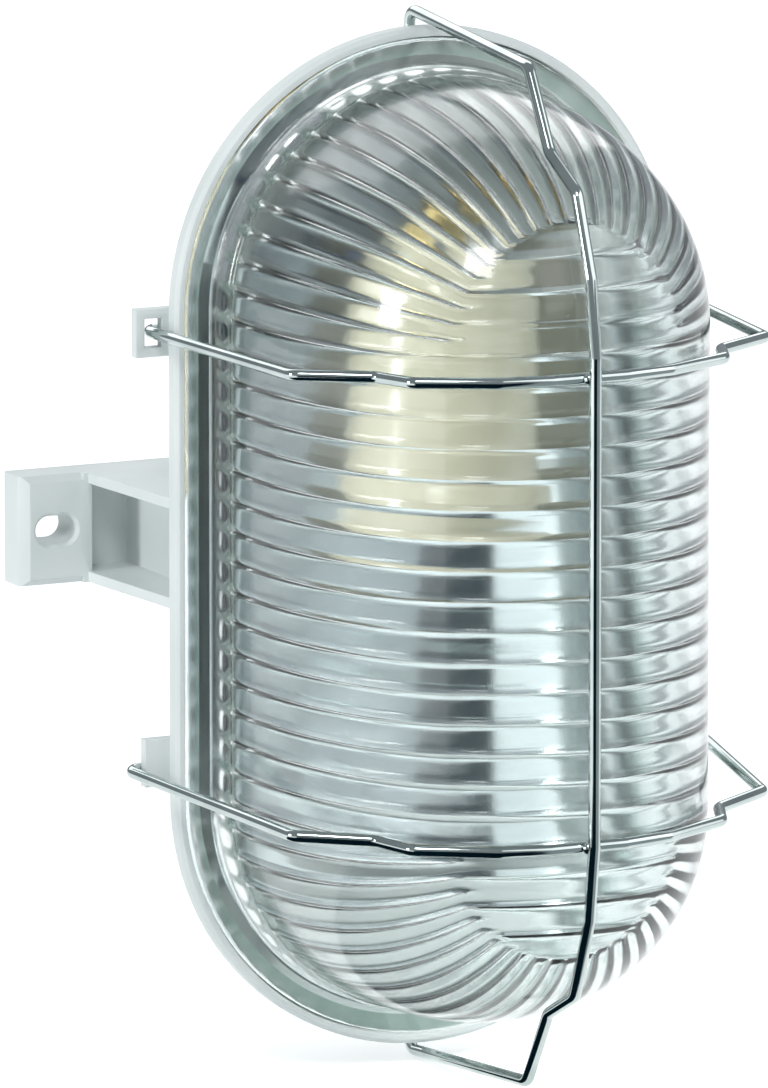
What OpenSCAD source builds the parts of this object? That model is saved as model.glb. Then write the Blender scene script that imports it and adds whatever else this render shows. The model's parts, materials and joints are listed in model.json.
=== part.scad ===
// Oval bulkhead light: moulded base, reeded glass, sprung wire guard.
// The working frame is x to the right, y up and z out from the wall;
// front_view() turns it so that +Z is up and the wall face lies at Y = 0.

/* [Base] */
// Half length of the straight sides of the oval
half_straight = 50; // [40:1:60]
// Depth from the wall to the front of the lip
base_depth = 50; // [46:1:60]
// Radius of the round ends, over the lip
lip_r = 56.5; // [55:0.5:60]
// Width of the rim round the glass flange
lip_wall = 2; // [1.6:0.1:2.4]
// Depth of the upright side of the lip
lip_side = 3.5; // [2.5:0.5:4.5]
// Thickness of the ledge under the glass seat
ledge_t = 2.5; // [2:0.1:4]
// Overhang of the lip beyond the bowl
lip_overhang = 5; // [4:0.5:6]
// Radius of the round ends at the wall
back_r = 33.5; // [31:0.5:36]
// Wall thickness of the moulding
base_wall = 2.2; // [1.8:0.1:3]

/* [Fixing ears] */
// Distance between the two fixing slots
ear_spacing = 130.6; // [128:0.1:136]
// Width of an ear
ear_w = 16; // [14:0.5:18]
// Height of an ear
ear_h = 23; // [20:0.5:28]
// Thickness of an ear
ear_t = 9.5; // [8:0.5:12]
// Length of a fixing slot
slot_len = 9; // [7:0.1:10]
// Width of a fixing slot
slot_w = 6; // [4:0.1:6.4]
// Thickness of the webs that carry an ear
web_t = 2.2; // [1.8:0.1:3]

/* [Glass] */
// Thickness of the glass flange
flange_t = 3; // [2.5:0.1:4]
// Gap between the flange and the rim
flange_gap = 0.5; // [0.3:0.1:1]
// Thickness of the seal under the flange
seal_t = 1; // [0.8:0.1:1.5]
// Width of the seal
seal_w = 4; // [3:0.1:4.4]
// Radius of the plain collar above the flange
collar_r = 48.5; // [48:0.5:49.5]
// Height of the collar above the flange
collar_h = 7; // [5:0.5:10]
// Outside radius of the glass wall at its foot
glass_r = 47.3; // [46:0.1:48]
// Height of the glass above the lip
glass_h = 75.6; // [68:0.2:78]
// Thickness of the glass between the ribs
glass_t = 3; // [2.5:0.1:4]
// Height of a rib on the inside
rib_h = 0.6; // [0.4:0.1:1]
// Distance of the ribs' round ends in front of the lip
rib_rise = 1.5; // [0.5:0.5:4]
// Squareness of the dome, 2 for an ellipse
dome_power = 2.4; // [2:0.1:2.8]
// Radius of the front field that the cross ribs fill
field_r = 25; // [20:1:28]

/* [Guard] */
// Diameter of the guard wire
wire_d = 2.5; // [2:0.1:3]
// Bend radius on the wire's centre line
wire_bend = 3; // [2.5:0.1:4]
// Height of the upper cross wire's hooks above the middle
upper_hook_y = 46.3; // [42:0.1:48]
// Depth of the lower cross wire's hooks below the middle
lower_hook_y = 45; // [42:0.1:48]
// Drop of the upper cross wire towards the front, in degrees
upper_drop = 0.4; // [0:0.1:2]
// Drop of the lower cross wire towards the front, in degrees
lower_drop = 3.6; // [0:0.1:5]
// Gap between a hook and what it catches
hook_gap = 0.3; // [0.2:0.1:0.6]
// Length of the hooked end, measured along its centre line
hook_len = 7.5; // [6:0.5:9]

/* [Lamp fittings] */
// Distance of the lampholder axis in front of the lip
lamp_out = 8; // [6:0.5:10]
// Outer diameter of the lampholder
holder_d = 42; // [40:0.5:44]
// Distance of the lampholder's mouth below the centre of the top arc
mouth_drop = 43.5; // [40:0.5:46]
// Length of the lampholder's skirt
skirt_len = 42; // [40:1:46]
// Length of the lampholder's cap
cap_len = 15; // [13:1:18]
// Inside radius of the screw shell
shell_r = 13.3; // [13:0.1:13.6]
// Thickness of the reflector sheet
sheet_t = 0.8; // [0.5:0.1:1.2]
// Distance of the reflector's flat from the wall
reflector_out = 19; // [18:0.5:22]
// Hole through the rubber cable grommet
cable_d = 9; // [7:0.5:10]

/* [Hidden] */
$fn = 64;

// Colours as the photograph shows them
grey_plastic = "#d9dddd";
clear_glass = [0.78, 0.85, 0.83, 0.45];
chrome = "#c9d0d3";
cream = "#e9e2c4";
bright_metal = "#b9bfc1";
brass = "#c8a557";
dark_rubber = "#3a3c3d";
seal_grey = "#6c7473";
steel = "#9aa1a4";
white_nylon = "#eef0ee";
brown_lead = "#6a4328";
blue_lead = "#3d62a8";

// Levels and radii of the base
seat_drop = flange_t + seal_t;
seat_z = base_depth - seat_drop;
ledge_z = seat_z - ledge_t;
bowl_r = lip_r - lip_overhang;
rim_r = lip_r - lip_wall;
edge = 0.8;
back_edge = 1.5;

// Ears and the arms behind the lip
ear_x = ear_spacing / 2;
ear_in = ear_x - ear_w / 2;
arm_wall_in = 5.5;
arm_wall_x = bowl_r - arm_wall_in;
arm_floor_t = 2;
arm_front_in = 1.7;
arm_front_x = lip_r - arm_front_in;
ear_chamfer = 2;
ear_bevel = 1.4;
slot_bevel = 0.7;

// Lugs at the sides that the cross wires hook behind
wire_r = wire_d / 2;
wire_sides = 12;
bend_step = 20;
lug_t = 1.6;
lug_h = 10;
lower_lug_up = 1.7;
lug_back_z = ledge_z - lug_t;
window_play = 1.4;
window_w = wire_d + window_play;
window_h = 6;
lug_bar = 1.9;
hook_out = 2.8;
lower_lug_out = 4.4;
wire_lean = 1.3;
window_shift = 0.4;
upper_hook_x = lip_r + hook_out;
window_x = upper_hook_x - window_w / 2 - window_shift;
upper_lug_x = window_x + window_w + lug_bar;
lower_lug_x = lip_r + lower_lug_out;
lower_hook_x = lower_lug_x + hook_gap + wire_r + wire_lean;

// Reflector, folded from one sheet
flat_half = 12;
slope_half = 27;
wing_half = 41;
slope_rise = 7.5;
wing_rise = 23.5;
fold_x = [flat_half, slope_half, wing_half];
fold_z = [0, slope_rise, wing_rise];
reflector_over = 8;
reflector_under = 22;
reflector_top = half_straight + reflector_over;
reflector_bottom = -half_straight - reflector_under;
reflector_back = reflector_out - sheet_t;

// Screws that hold the sheet metal
screw_r = 1.75;
head_r = 3.4;
head_h = 2.4;
pilot_depth = 8;
boss_r = 4;
boss_root = 0.5;
pilot_gap = 0.05;
sheet_hole_gap = 0.25;
driver_slot_w = 0.9;
driver_slot_d = 1.2;
low_screw_drop = 12;
reflector_screw_y = [half_straight, -half_straight - low_screw_drop];
bracket_screw_x = 7;

// Lampholder on its vertical axis
lamp_z = base_depth + lamp_out;
holder_r = holder_d / 2;
skirt_wall = 2.6;
skirt_step = 0.6;
skirt_band = 6;
mouth_edge = 1;
holder_mouth = half_straight - mouth_drop;
skirt_top = holder_mouth + skirt_len;
cap_top = skirt_top + cap_len;
cap_neck_r = 13;
cap_neck_h = 3;
cap_side = 3;
cap_steps = 6;
cap_crown_t = 4;
lead_entry = 5;
close_fit = 0.05;
insert_t = 9;
insert_y = skirt_top - insert_t;
shell_t = 0.6;
shell_len = 25;
thread_pitch = 3.63;
thread_depth = 0.8;
contact_r = 4;
contact_h = 3;
contact_edge = 1.5;
holder_screw_head = 1.8;
holder_screw_blind = 2;
nipple_r = 5;
nipple_over = 1.5;
nipple_bore = 3.5;
nut_flat = 14;
nut_t = 4;

// Bracket that carries the lampholder
strip_t = 1.5;
strip_w = 24;
bracket_boss_z = 12;
bracket_y = cap_top;
bracket_leg = 18;
bracket_nose = lamp_z + strip_w / 2;
bracket_screw_up = 11;
bracket_screw_y = bracket_y + bracket_screw_up;

// Terminal block on the floor of the base
floor_z = base_wall;
block_w = 27;
block_len = 17;
block_h = 12.5;
block_step = 4;
block_y = -half_straight / 2;
pole_x = 7;
pole_w = 7;
sleeve_r = 2.6;
sleeve_bore = 1.6;
sleeve_in = 1;
sleeve_up = 5;
sleeve_z = floor_z + sleeve_up;
terminal_screw_r = 1.5;
terminal_screw_y = 5;
terminal_head_drop = 3;
terminal_well_gap = 0.6;
terminal_slot_w = 0.6;
terminal_slot_d = 0.8;
terminal_screw_h = block_h - terminal_head_drop - sleeve_up - sleeve_bore;
block_screw_bite = 0.8;
lead_r = 1.1;
lead_gap = 0.3;
lead_over = 2.5;
lead_reach = 6;
lead_back = 10;

// Grommet in the back wall
grommet_in = 2;
grommet_y = grommet_in - half_straight;
grommet_lip = 2;
grommet_wall = 2.5;
grommet_gap = 0.1;
grommet_back = 0.3;
grommet_flange = 1.5;
grommet_neck = 4;
grommet_neck_wall = 1;
grommet_r = cable_d / 2 + grommet_wall;

// Ribs inside the glass: per round end, per straight side
end_ribs = 24;
side_ribs = 16;
rib_count = 2 * (end_ribs + side_ribs);
rib_steps = 3;
rib_pitch = 2 * half_straight / side_ribs;
collar_step = 1;
foot_z = base_depth + collar_h + collar_step;
dome_h = base_depth + glass_h - foot_z;
flange_r = rim_r - flange_gap;
flange_back = base_depth - flange_t;
dome_rows = 8;
inner_r = glass_r - glass_t;
inner_h = dome_h - glass_t;
rib_start = base_depth + rib_rise;
rib_round = 2;
rib_rows = 8;

// Guard wires: each half runs from its hook to an outer corner, a joggle and the crown
crown_gap = 0.3;
cross_crown = glass_h + crown_gap + wire_r;
long_crown = cross_crown + wire_d;
corner_drop = 26.1;
joggle_drop = 17.1;
cross_step_drop = 7.9;
long_step_drop = 4.8;
cross_bow_in = 6;
long_bow_in = 9;
corner_out = glass_h - corner_drop;
cross_corner_in = 3.3;
long_corner_in = 1.7;
long_corner_back = 1;
joggle_out = glass_h - joggle_drop;
joggle_in = 8.7;
cross_step_out = glass_h - cross_step_drop;
cross_step_in = 12.5;
long_step_out = glass_h - long_step_drop;
long_step_in = 14.7;
cross_bow = 1.9;
long_bow = 2.2;
cross_bow_x = field_r - cross_bow_in;
cross_flat_x = field_r / 3;
long_bow_y = field_r - long_bow_in;
cross_hook_z = lug_back_z - hook_gap - wire_r;
long_hook_z = ledge_z - hook_gap - wire_r;
long_hook_y = half_straight + lip_r + hook_out;

// Turns the working frame to +Z up with the wall at Y = 0
module front_view() {
    rotate([90, 0, 0]) children();
}

// Sweeps a profile of [radius, distance from the wall] round the oval
module oval_sweep() {
    for (turn = [0, 180]) {
        rotate([0, 0, turn]) {
            translate([0, half_straight, 0]) rotate_extrude(angle = 180) children();
            translate([0, half_straight, 0]) rotate([90, 0, 0]) linear_extrude(2 * half_straight) children();
        }
    }
}

// Runs a cylinder along y from one height to another
module upright(r, from_y, to_y) {
    translate([0, from_y, 0]) rotate([-90, 0, 0]) cylinder(r = r, h = to_y - from_y);
}

// Revolves a profile of [radius, height] about the y axis
module turned(points) {
    rotate([-90, 0, 0]) rotate_extrude() polygon(points);
}

// Pan head screw along z: the head stands on z = 0
module pan_screw(length) {
    translate([0, 0, -length]) cylinder(r = screw_r, h = length + 0.1);
    difference() {
        cylinder(r1 = head_r, r2 = head_r * 0.8, h = head_h);
        translate([-head_r, -driver_slot_w / 2, head_h - driver_slot_d])
            cube([2 * head_r, driver_slot_w, 2 * driver_slot_d]);
    }
}

// Points of a flat path with each inner corner rounded to a bend radius
function rounded_path(path, bend) =
    let (last = len(path) - 1,
        heading = [for (i = [0 : last - 1]) atan2(path[i + 1][1] - path[i][1], path[i + 1][0] - path[i][0])])
    concat([path[0]],
        [for (i = [1 : last - 1])
            let (turn = short_turn(heading[i] - heading[i - 1]), side = sign(turn),
                along = [cos(heading[i - 1]), sin(heading[i - 1])], left = [-along[1], along[0]],
                start = path[i] - bend * tan(abs(turn) / 2) * along, steps = ceil(abs(turn) / bend_step))
            each [for (j = [0 : steps])
                let (a = turn * j / steps)
                start + bend * (side * (1 - cos(a)) * left + sin(abs(a)) * along)]],
        [path[last]]);

// Round wire along a flat path with rounded corners
module bent_wire(path, r, bend) {
    route = rounded_path(path, bend);
    last = len(route) - 1;
    heading = [for (i = [0 : last])
        let (d = route[min(i + 1, last)] - route[max(i - 1, 0)]) atan2(d[1], d[0])];
    points = [for (i = [0 : last], k = [0 : wire_sides - 1])
        let (a = 360 * k / wire_sides)
        [route[i][0] - r * cos(a) * sin(heading[i]), route[i][1] + r * cos(a) * cos(heading[i]), r * sin(a)]];
    caps = [[for (k = [0 : wire_sides - 1]) k],
        [for (k = [wire_sides - 1 : -1 : 0]) last * wire_sides + k]];
    polyhedron(points, concat(caps,
        [for (i = [0 : last - 1]) each band(i * wire_sides, (i + 1) * wire_sides, wire_sides)]));
}

function short_turn(a) = a > 180 ? a - 360 : a < -180 ? a + 360 : a;

// A half path and its mirror image, joined at the middle
function both_sides(half) = concat(
    [for (p = half) [-p[0], p[1]]],
    [for (i = [len(half) - 1 : -1 : 0]) half[i]]);

// Section of the base: bowl, ledge, glass seat and rim
module base_section() {
    polygon([[0, 0], [back_r - back_edge, 0], [back_r, back_edge], [bowl_r, ledge_z],
        [lip_r - ledge_t, ledge_z], [lip_r, base_depth - lip_side], [lip_r, base_depth - edge],
        [lip_r - edge, base_depth], [0, base_depth]]);
}

// Hollow of the base, with the step that seats the glass
module base_hollow() {
    polygon([[0, floor_z], [back_r - base_wall, floor_z], [bowl_r - base_wall, ledge_z],
        [bowl_r - base_wall, seat_z], [rim_r, seat_z], [rim_r, base_depth + 1], [0, base_depth + 1]]);
}

// Fixing ear on its two webs, on the right-hand side
module ear_arm() {
    difference() {
        translate([ear_in, 0, 0]) rotate([90, 0, 0])
            linear_extrude(ear_h, center = true)
                polygon([[0, 0], [ear_w - edge, 0], [ear_w, edge], [ear_w, ear_t - ear_chamfer],
                    [ear_w - ear_chamfer, ear_t], [0, ear_t]]);
        for (side = [0, 1]) mirror([0, side, 0])
            translate([ear_in + ear_chamfer, ear_h / 2, ear_t]) rotate([0, 90, 0])
                linear_extrude(ear_w) polygon([[-1, 1], [-1, -ear_bevel - 1], [ear_bevel + 1, 1]]);
    }
    for (side = [-1, 1]) {
        translate([0, side * (ear_h - web_t) / 2, 0]) rotate([90, 0, 0])
            linear_extrude(web_t, center = true)
                polygon([[back_r - 2 * base_wall, 0], [ear_in + edge, 0], [ear_in + edge, ear_t],
                    [arm_front_x, ledge_z + edge], [bowl_r - base_wall, ledge_z + edge]]);
    }
    translate([back_r - 2 * base_wall, -ear_h / 2, 0])
        cube([ear_in + edge - back_r + 2 * base_wall, ear_h, arm_floor_t]);
    translate([arm_wall_x - web_t, -ear_h / 2, 0]) cube([web_t, ear_h, ledge_z]);
}

// Slot through an ear, bevelled at the front
module ear_slot() {
    straight = (slot_len - slot_w) / 2;
    for (level = [[-1, ear_t + 2, 0, 0], [ear_t - slot_bevel, slot_bevel + 0.01, 0, slot_bevel]]) {
        for (side = [-1, 1]) {
            translate([ear_x + side * straight, 0, level[0]])
                cylinder(r1 = slot_w / 2, r2 = slot_w / 2 + level[3], h = level[1]);
        }
    }
    translate([ear_x - straight, -slot_w / 2, -1]) cube([2 * straight, slot_w, ear_t + 2]);
}

// Lug for a cross wire, on the right-hand side
module wire_lug(y, out_x) {
    translate([bowl_r - lug_t, y - lug_h / 2, lug_back_z])
        cube([out_x - bowl_r + lug_t, lug_h, lug_t + edge]);
}

// Boss on the floor with its pilot hole
module screw_boss(top_z) {
    translate([0, 0, floor_z - boss_root]) cylinder(r = boss_r, h = top_z - floor_z + boss_root);
}

module boss_places() {
    for (y = reflector_screw_y) translate([0, y, 0]) screw_boss(reflector_back);
    for (x = [-1, 1]) translate([x * bracket_screw_x, bracket_screw_y, 0]) screw_boss(bracket_boss_z);
}

module pilot_holes() {
    for (y = reflector_screw_y)
        translate([0, y, reflector_back - pilot_depth - 1])
            cylinder(r = screw_r + pilot_gap, h = pilot_depth + 2);
    for (x = [-1, 1])
        translate([x * bracket_screw_x, bracket_screw_y, bracket_boss_z - pilot_depth - 1])
            cylinder(r = screw_r + pilot_gap, h = pilot_depth + 2);
    translate([0, block_y, floor_z - 1]) cylinder(r = screw_r + pilot_gap, h = 3);
}

module base_housing() {
    color(grey_plastic) front_view() difference() {
        union() {
            difference() {
                union() {
                    oval_sweep() base_section();
                    for (side = [0, 1]) mirror([side, 0, 0]) {
                        ear_arm();
                        wire_lug(upper_hook_y, upper_lug_x);
                        wire_lug(lower_lug_up - lower_hook_y, lower_lug_x);
                    }
                }
                oval_sweep() base_hollow();
            }
            boss_places();
        }
        for (side = [0, 1]) mirror([side, 0, 0]) {
            ear_slot();
            translate([window_x, upper_hook_y - window_h / 2, lug_back_z - 1])
                cube([window_w, window_h, lug_t + edge + 2]);
        }
        pilot_holes();
        translate([0, grommet_y, -1]) cylinder(r = grommet_r, h = floor_z + 2);
    }
}

module base_gasket() {
    color(seal_grey) front_view() oval_sweep()
        translate([flange_r - seal_w, seat_z]) square([seal_w, seal_t]);
}

// Rubber grommet with a groove that grips the back wall
module cable_grommet() {
    color(dark_rubber) front_view() translate([0, grommet_y, 0]) rotate_extrude()
        polygon([[cable_d / 2, grommet_back], [grommet_r - grommet_gap, grommet_back],
            [grommet_r - grommet_gap, floor_z + grommet_gap],
            [grommet_r + grommet_lip, floor_z + grommet_gap],
            [grommet_r + grommet_lip, floor_z + grommet_flange],
            [cable_d / 2 + grommet_neck_wall, floor_z + grommet_neck],
            [cable_d / 2, floor_z + grommet_neck]]);
}

// Folded trough of bright sheet behind the lamp
module reflector() {
    right = [for (i = [0 : 2]) [fold_x[i], fold_z[i]]];
    front = concat([for (i = [2 : -1 : 0]) [-fold_x[i], fold_z[i]]], right);
    back = [for (i = [len(front) - 1 : -1 : 0]) front[i] - [0, sheet_t]];
    color(bright_metal) front_view() difference() {
        translate([0, reflector_top, reflector_out]) rotate([90, 0, 0])
            linear_extrude(reflector_top - reflector_bottom) polygon(concat(front, back));
        for (y = reflector_screw_y)
            translate([0, y, reflector_back - 1]) cylinder(r = screw_r + sheet_hole_gap, h = sheet_t + 2);
    }
}

module reflector_screws() {
    color(steel) front_view()
        for (y = reflector_screw_y) translate([0, y, reflector_out]) pan_screw(pilot_depth);
}

// Bent steel strip: leg on its bosses, shelf above the lampholder
module lampholder_bracket() {
    color(steel) front_view() difference() {
        union() {
            translate([-strip_w / 2, bracket_y, bracket_boss_z]) cube([strip_w, bracket_leg, strip_t]);
            translate([-strip_w / 2, bracket_y, bracket_boss_z])
                cube([strip_w, strip_t, bracket_nose - bracket_boss_z - strip_w / 2]);
            translate([0, bracket_y, bracket_nose - strip_w / 2]) upright(strip_w / 2, 0, strip_t);
        }
        for (x = [-1, 1])
            translate([x * bracket_screw_x, bracket_screw_y, bracket_boss_z - 1])
                cylinder(r = screw_r + sheet_hole_gap, h = strip_t + 2);
        translate([0, bracket_y, lamp_z]) upright(nipple_r + 2 * close_fit, -1, strip_t + 1);
    }
}

module bracket_screws() {
    color(steel) front_view() for (x = [-1, 1])
        translate([x * bracket_screw_x, bracket_screw_y, bracket_boss_z + strip_t]) pan_screw(pilot_depth);
}

module lampholder_skirt() {
    color(cream) front_view() translate([0, 0, lamp_z])
        turned([[holder_r - skirt_wall, holder_mouth], [holder_r - mouth_edge, holder_mouth],
            [holder_r, holder_mouth + mouth_edge], [holder_r, skirt_top - skirt_band],
            [holder_r - skirt_step, skirt_top - skirt_band + skirt_step],
            [holder_r - skirt_step, skirt_top], [holder_r - skirt_wall, skirt_top]]);
}

// Domed cap with the neck that takes the nipple
module lampholder_cap() {
    color(cream) front_view() translate([0, 0, lamp_z]) difference() {
        turned(concat([[0, skirt_top], [holder_r, skirt_top]],
            [for (i = [0 : cap_steps])
                [cap_neck_r + (holder_r - cap_neck_r) * cos(90 * i / cap_steps),
                    skirt_top + cap_side + (cap_len - cap_side - cap_neck_h) * sin(90 * i / cap_steps)]],
            [[cap_neck_r, cap_top], [0, cap_top]]));
        turned([[0, skirt_top - 1], [holder_r - skirt_wall, skirt_top - 1],
            [holder_r - skirt_wall, skirt_top + cap_side], [cap_neck_r - skirt_wall, cap_top - cap_crown_t],
            [0, cap_top - cap_crown_t]]);
        upright(nipple_r + close_fit, cap_top - cap_crown_t - 1, cap_top + 1);
        for (x = [-1, 1])
            translate([x * pole_x, skirt_top + lead_entry, -holder_r])
                cylinder(r = lead_r + lead_gap, h = holder_r);
    }
}

// Ceramic insert that carries the contacts, seated in the top of the skirt
module lampholder_insert() {
    color(white_nylon) front_view() translate([0, 0, lamp_z]) difference() {
        upright(holder_r - skirt_wall - 2 * close_fit, insert_y, skirt_top);
        for (x = [-1, 1])
            translate([x * pole_x, 0, 0])
                upright(terminal_screw_r + close_fit, insert_y + holder_screw_blind, skirt_top + 1);
    }
}

// Threaded sleeve that takes the lamp cap
module screw_shell() {
    turns = floor(shell_len / thread_pitch);
    outer = [for (i = [0 : turns * 2])
        [shell_r + (i % 2) * thread_depth, insert_y - shell_len + i * thread_pitch / 2]];
    inner = [for (i = [turns * 2 : -1 : 0]) outer[i] + [shell_t, 0]];
    color(brass) front_view() translate([0, 0, lamp_z]) {
        turned(concat(outer, inner));
        turned([[shell_r, outer[turns * 2][1]], [shell_r + shell_t, outer[turns * 2][1]],
            [shell_r + shell_t, insert_y], [shell_r, insert_y]]);
    }
}

module centre_contact() {
    color(brass) front_view() translate([0, 0, lamp_z])
        turned([[0, insert_y - contact_h], [contact_r - contact_edge, insert_y - contact_h],
            [contact_r, insert_y - contact_h + contact_edge], [contact_r, insert_y], [0, insert_y]]);
}

module holder_terminal_screws() {
    color(brass) front_view() translate([0, 0, lamp_z]) for (x = [-1, 1]) translate([x * pole_x, 0, 0]) {
        upright(terminal_screw_r, insert_y + holder_screw_blind + 1, skirt_top + 0.1);
        difference() {
            upright(terminal_screw_r + 1, skirt_top, skirt_top + holder_screw_head);
            translate([-2 * terminal_screw_r, skirt_top + holder_screw_head - terminal_slot_d,
                -terminal_slot_w / 2])
                cube([4 * terminal_screw_r, 2 * terminal_slot_d, terminal_slot_w]);
        }
    }
}

// Threaded tube through the bracket's shelf
module holder_nipple() {
    color(brass) front_view() translate([0, 0, lamp_z])
        turned([[nipple_bore, cap_top - cap_crown_t + lead_gap], [nipple_r, cap_top - cap_crown_t + lead_gap],
            [nipple_r, cap_top + strip_t + nut_t + nipple_over],
            [nipple_bore, cap_top + strip_t + nut_t + nipple_over]]);
}

module nipple_nut() {
    color(brass) front_view() translate([0, bracket_y + strip_t, lamp_z]) difference() {
        rotate([-90, 0, 0]) cylinder(d = nut_flat / cos(30), h = nut_t, $fn = 6);
        upright(nipple_r + close_fit, -1, nut_t + 1);
    }
}

// Two-pole connector block
module terminal_block() {
    color(white_nylon) front_view() translate([0, block_y, floor_z]) difference() {
        union() {
            translate([-block_w / 2, -block_len / 2, 0]) cube([block_w, block_len, block_h - block_step]);
            for (x = [-1, 1])
                translate([x * pole_x - pole_w / 2, -block_len / 2, 0]) cube([pole_w, block_len, block_h]);
        }
        for (x = [-1, 1]) {
            translate([x * pole_x, 0, sleeve_up])
                upright(sleeve_r + close_fit, -block_len, block_len);
            for (y = [-1, 1])
                translate([x * pole_x, y * terminal_screw_y, sleeve_up])
                    cylinder(r = terminal_screw_r + terminal_well_gap, h = block_h);
        }
        translate([0, 0, -1]) cylinder(r = screw_r + 2 * close_fit, h = block_h);
    }
}

module terminal_sleeves() {
    color(brass) front_view() for (x = [-1, 1]) translate([x * pole_x, block_y, sleeve_z]) difference() {
        upright(sleeve_r, -block_len / 2 + sleeve_in, block_len / 2 - sleeve_in);
        upright(sleeve_bore, -block_len, block_len);
        for (y = [-1, 1])
            translate([0, y * terminal_screw_y, 0])
                cylinder(r = terminal_screw_r + close_fit, h = sleeve_r + 1);
    }
}

module terminal_screws() {
    color(steel) front_view() for (x = [-1, 1], y = [-1, 1])
        translate([x * pole_x, block_y + y * terminal_screw_y, sleeve_z + sleeve_bore]) difference() {
            cylinder(r = terminal_screw_r, h = terminal_screw_h);
            translate([-2 * terminal_screw_r, -terminal_slot_w / 2, terminal_screw_h - terminal_slot_d])
                cube([4 * terminal_screw_r, terminal_slot_w, 2 * terminal_slot_d]);
        }
}

module terminal_block_screw() {
    color(steel) front_view() translate([0, block_y, floor_z + block_h - block_step])
        pan_screw(block_h - block_step + block_screw_bite);
}

// Insulated lead from the block, up behind the reflector and over its top into the cap
module lead(side) {
    start_y = block_y + block_len / 2 - sleeve_in + lead_gap;
    cap_y = skirt_top + lead_entry;
    over_y = reflector_top + lead_over;
    back_z = lamp_z - holder_r;
    translate([side * pole_x, 0, 0]) rotate([90, 0, 90])
        bent_wire([[start_y, sleeve_z], [over_y, sleeve_z], [over_y, back_z - lead_back],
            [cap_y, back_z - lead_reach], [cap_y, back_z + lead_reach]], lead_r, wire_bend);
}

module line_wire() {
    color(brown_lead) front_view() lead(1);
}

module neutral_wire() {
    color(blue_lead) front_view() lead(-1);
}

// Point on an oval of radius r, counted in ribs from the right-hand end of the top arc
function oval_point(r, k, z) =
    k < end_ribs ? [r * cos(180 * k / end_ribs), half_straight + r * sin(180 * k / end_ribs), z] :
    k < end_ribs + side_ribs ? [-r, half_straight - (k - end_ribs) * rib_pitch, z] :
    k < rib_count - side_ribs ? [r * cos(180 * (k - side_ribs) / end_ribs),
        -half_straight + r * sin(180 * (k - side_ribs) / end_ribs), z] :
    [r, -half_straight + (k - rib_count + side_ribs) * rib_pitch, z];

function oval_ring(r, z, steps) = [for (i = [0 : rib_count * steps - 1]) oval_point(r, i / steps, z)];

// Dome profile at an angle up from its foot, as [radius, height above the foot]
function dome_at(a, r, h) = [r * pow(cos(a), 2 / dome_power), h * pow(sin(a), 2 / dome_power)];

// Height of the dome above its foot at a distance from the middle line
function dome_height(u, r, h) = h * pow(1 - pow(u / r, dome_power), 1 / dome_power);

// Angle up the dome at which its radius falls to that of the front field
function field_angle(r) = acos(pow(field_r / r, dome_power / 2));

// Round rib, from one sharp valley to the next
function lobe(k) = rib_h * abs(sin(180 * k));

// One ring of the ribbed inside, each rib standing in from the profile along its slope
function ribbed_ring(a) =
    let (p = dome_at(a, inner_r, inner_h),
        lean = atan2(pow(sin(a), 2 - 2 / dome_power) / inner_h, pow(cos(a), 2 - 2 / dome_power) / inner_r))
    [for (i = [0 : rib_count * rib_steps - 1])
        let (k = i / rib_steps)
        oval_point(p[0] - lobe(k) * cos(lean), k, foot_z + p[1] - lobe(k) * sin(lean))];

// Field of cross lines that closes a ring: line m joins the columns m steps either side of the top
function field_line(m, steps, shares, r, h, ribbed, ring) =
    let (count = rib_count * steps, top = end_ribs * steps / 2,
        right = ring[(top - m + count) % count], left = ring[(top + m) % count],
        y = (right[1] + left[1]) / 2)
    [for (s = shares)
        let (x = right[0] * s, over = max(0, abs(y) - half_straight))
        [x, y, foot_z + dome_height(norm([x, over]), r, h)
            - (ribbed ? lobe((y - half_straight) / rib_pitch) : 0)]];

// Triangles between two rings of n points, the first nearer the start of the skin
function band(a, b, n) = [for (i = [0 : n - 1]) let (j = (i + 1) % n)
    each [[a + i, b + i, b + j], [a + i, b + j, a + j]]];

// Triangles from a ring of n points to one with three times as many
function fan_band(a, b, n) = [for (i = [0 : n - 1])
    let (j = (i + 1) % n, c = b + 3 * i, d = b + (3 * i + 3) % (3 * n))
    each [[a + i, c, c + 1], [a + i, c + 1, c + 2], [a + i, c + 2, a + j], [a + j, c + 2, d]]];

// Triangles that close a ring at index a with field lines stored from index f on
function field_faces(a, f, steps, width) =
    let (count = rib_count * steps, top = end_ribs * steps / 2, lines = count / 2,
        row = [for (m = [0 : lines]) m == 0 || m == lines ? [a + (top + m) % count] :
            concat([a + (top - m + count) % count], [for (s = [0 : width - 1]) f + (m - 1) * width + s],
                [a + (top + m) % count])])
    [for (m = [0 : lines - 1])
        let (p = row[m], q = row[m + 1])
        each (len(p) == 1 ? [for (s = [0 : width]) [p[0], q[s], q[s + 1]]] :
            len(q) == 1 ? [for (s = [0 : width]) [q[0], p[s + 1], p[s]]] :
            [for (s = [0 : width]) each [[p[s], q[s], q[s + 1]], [p[s], q[s + 1], p[s + 1]]]])];

function flipped(faces) = [for (f = faces) [f[0], f[2], f[1]]];

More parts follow.
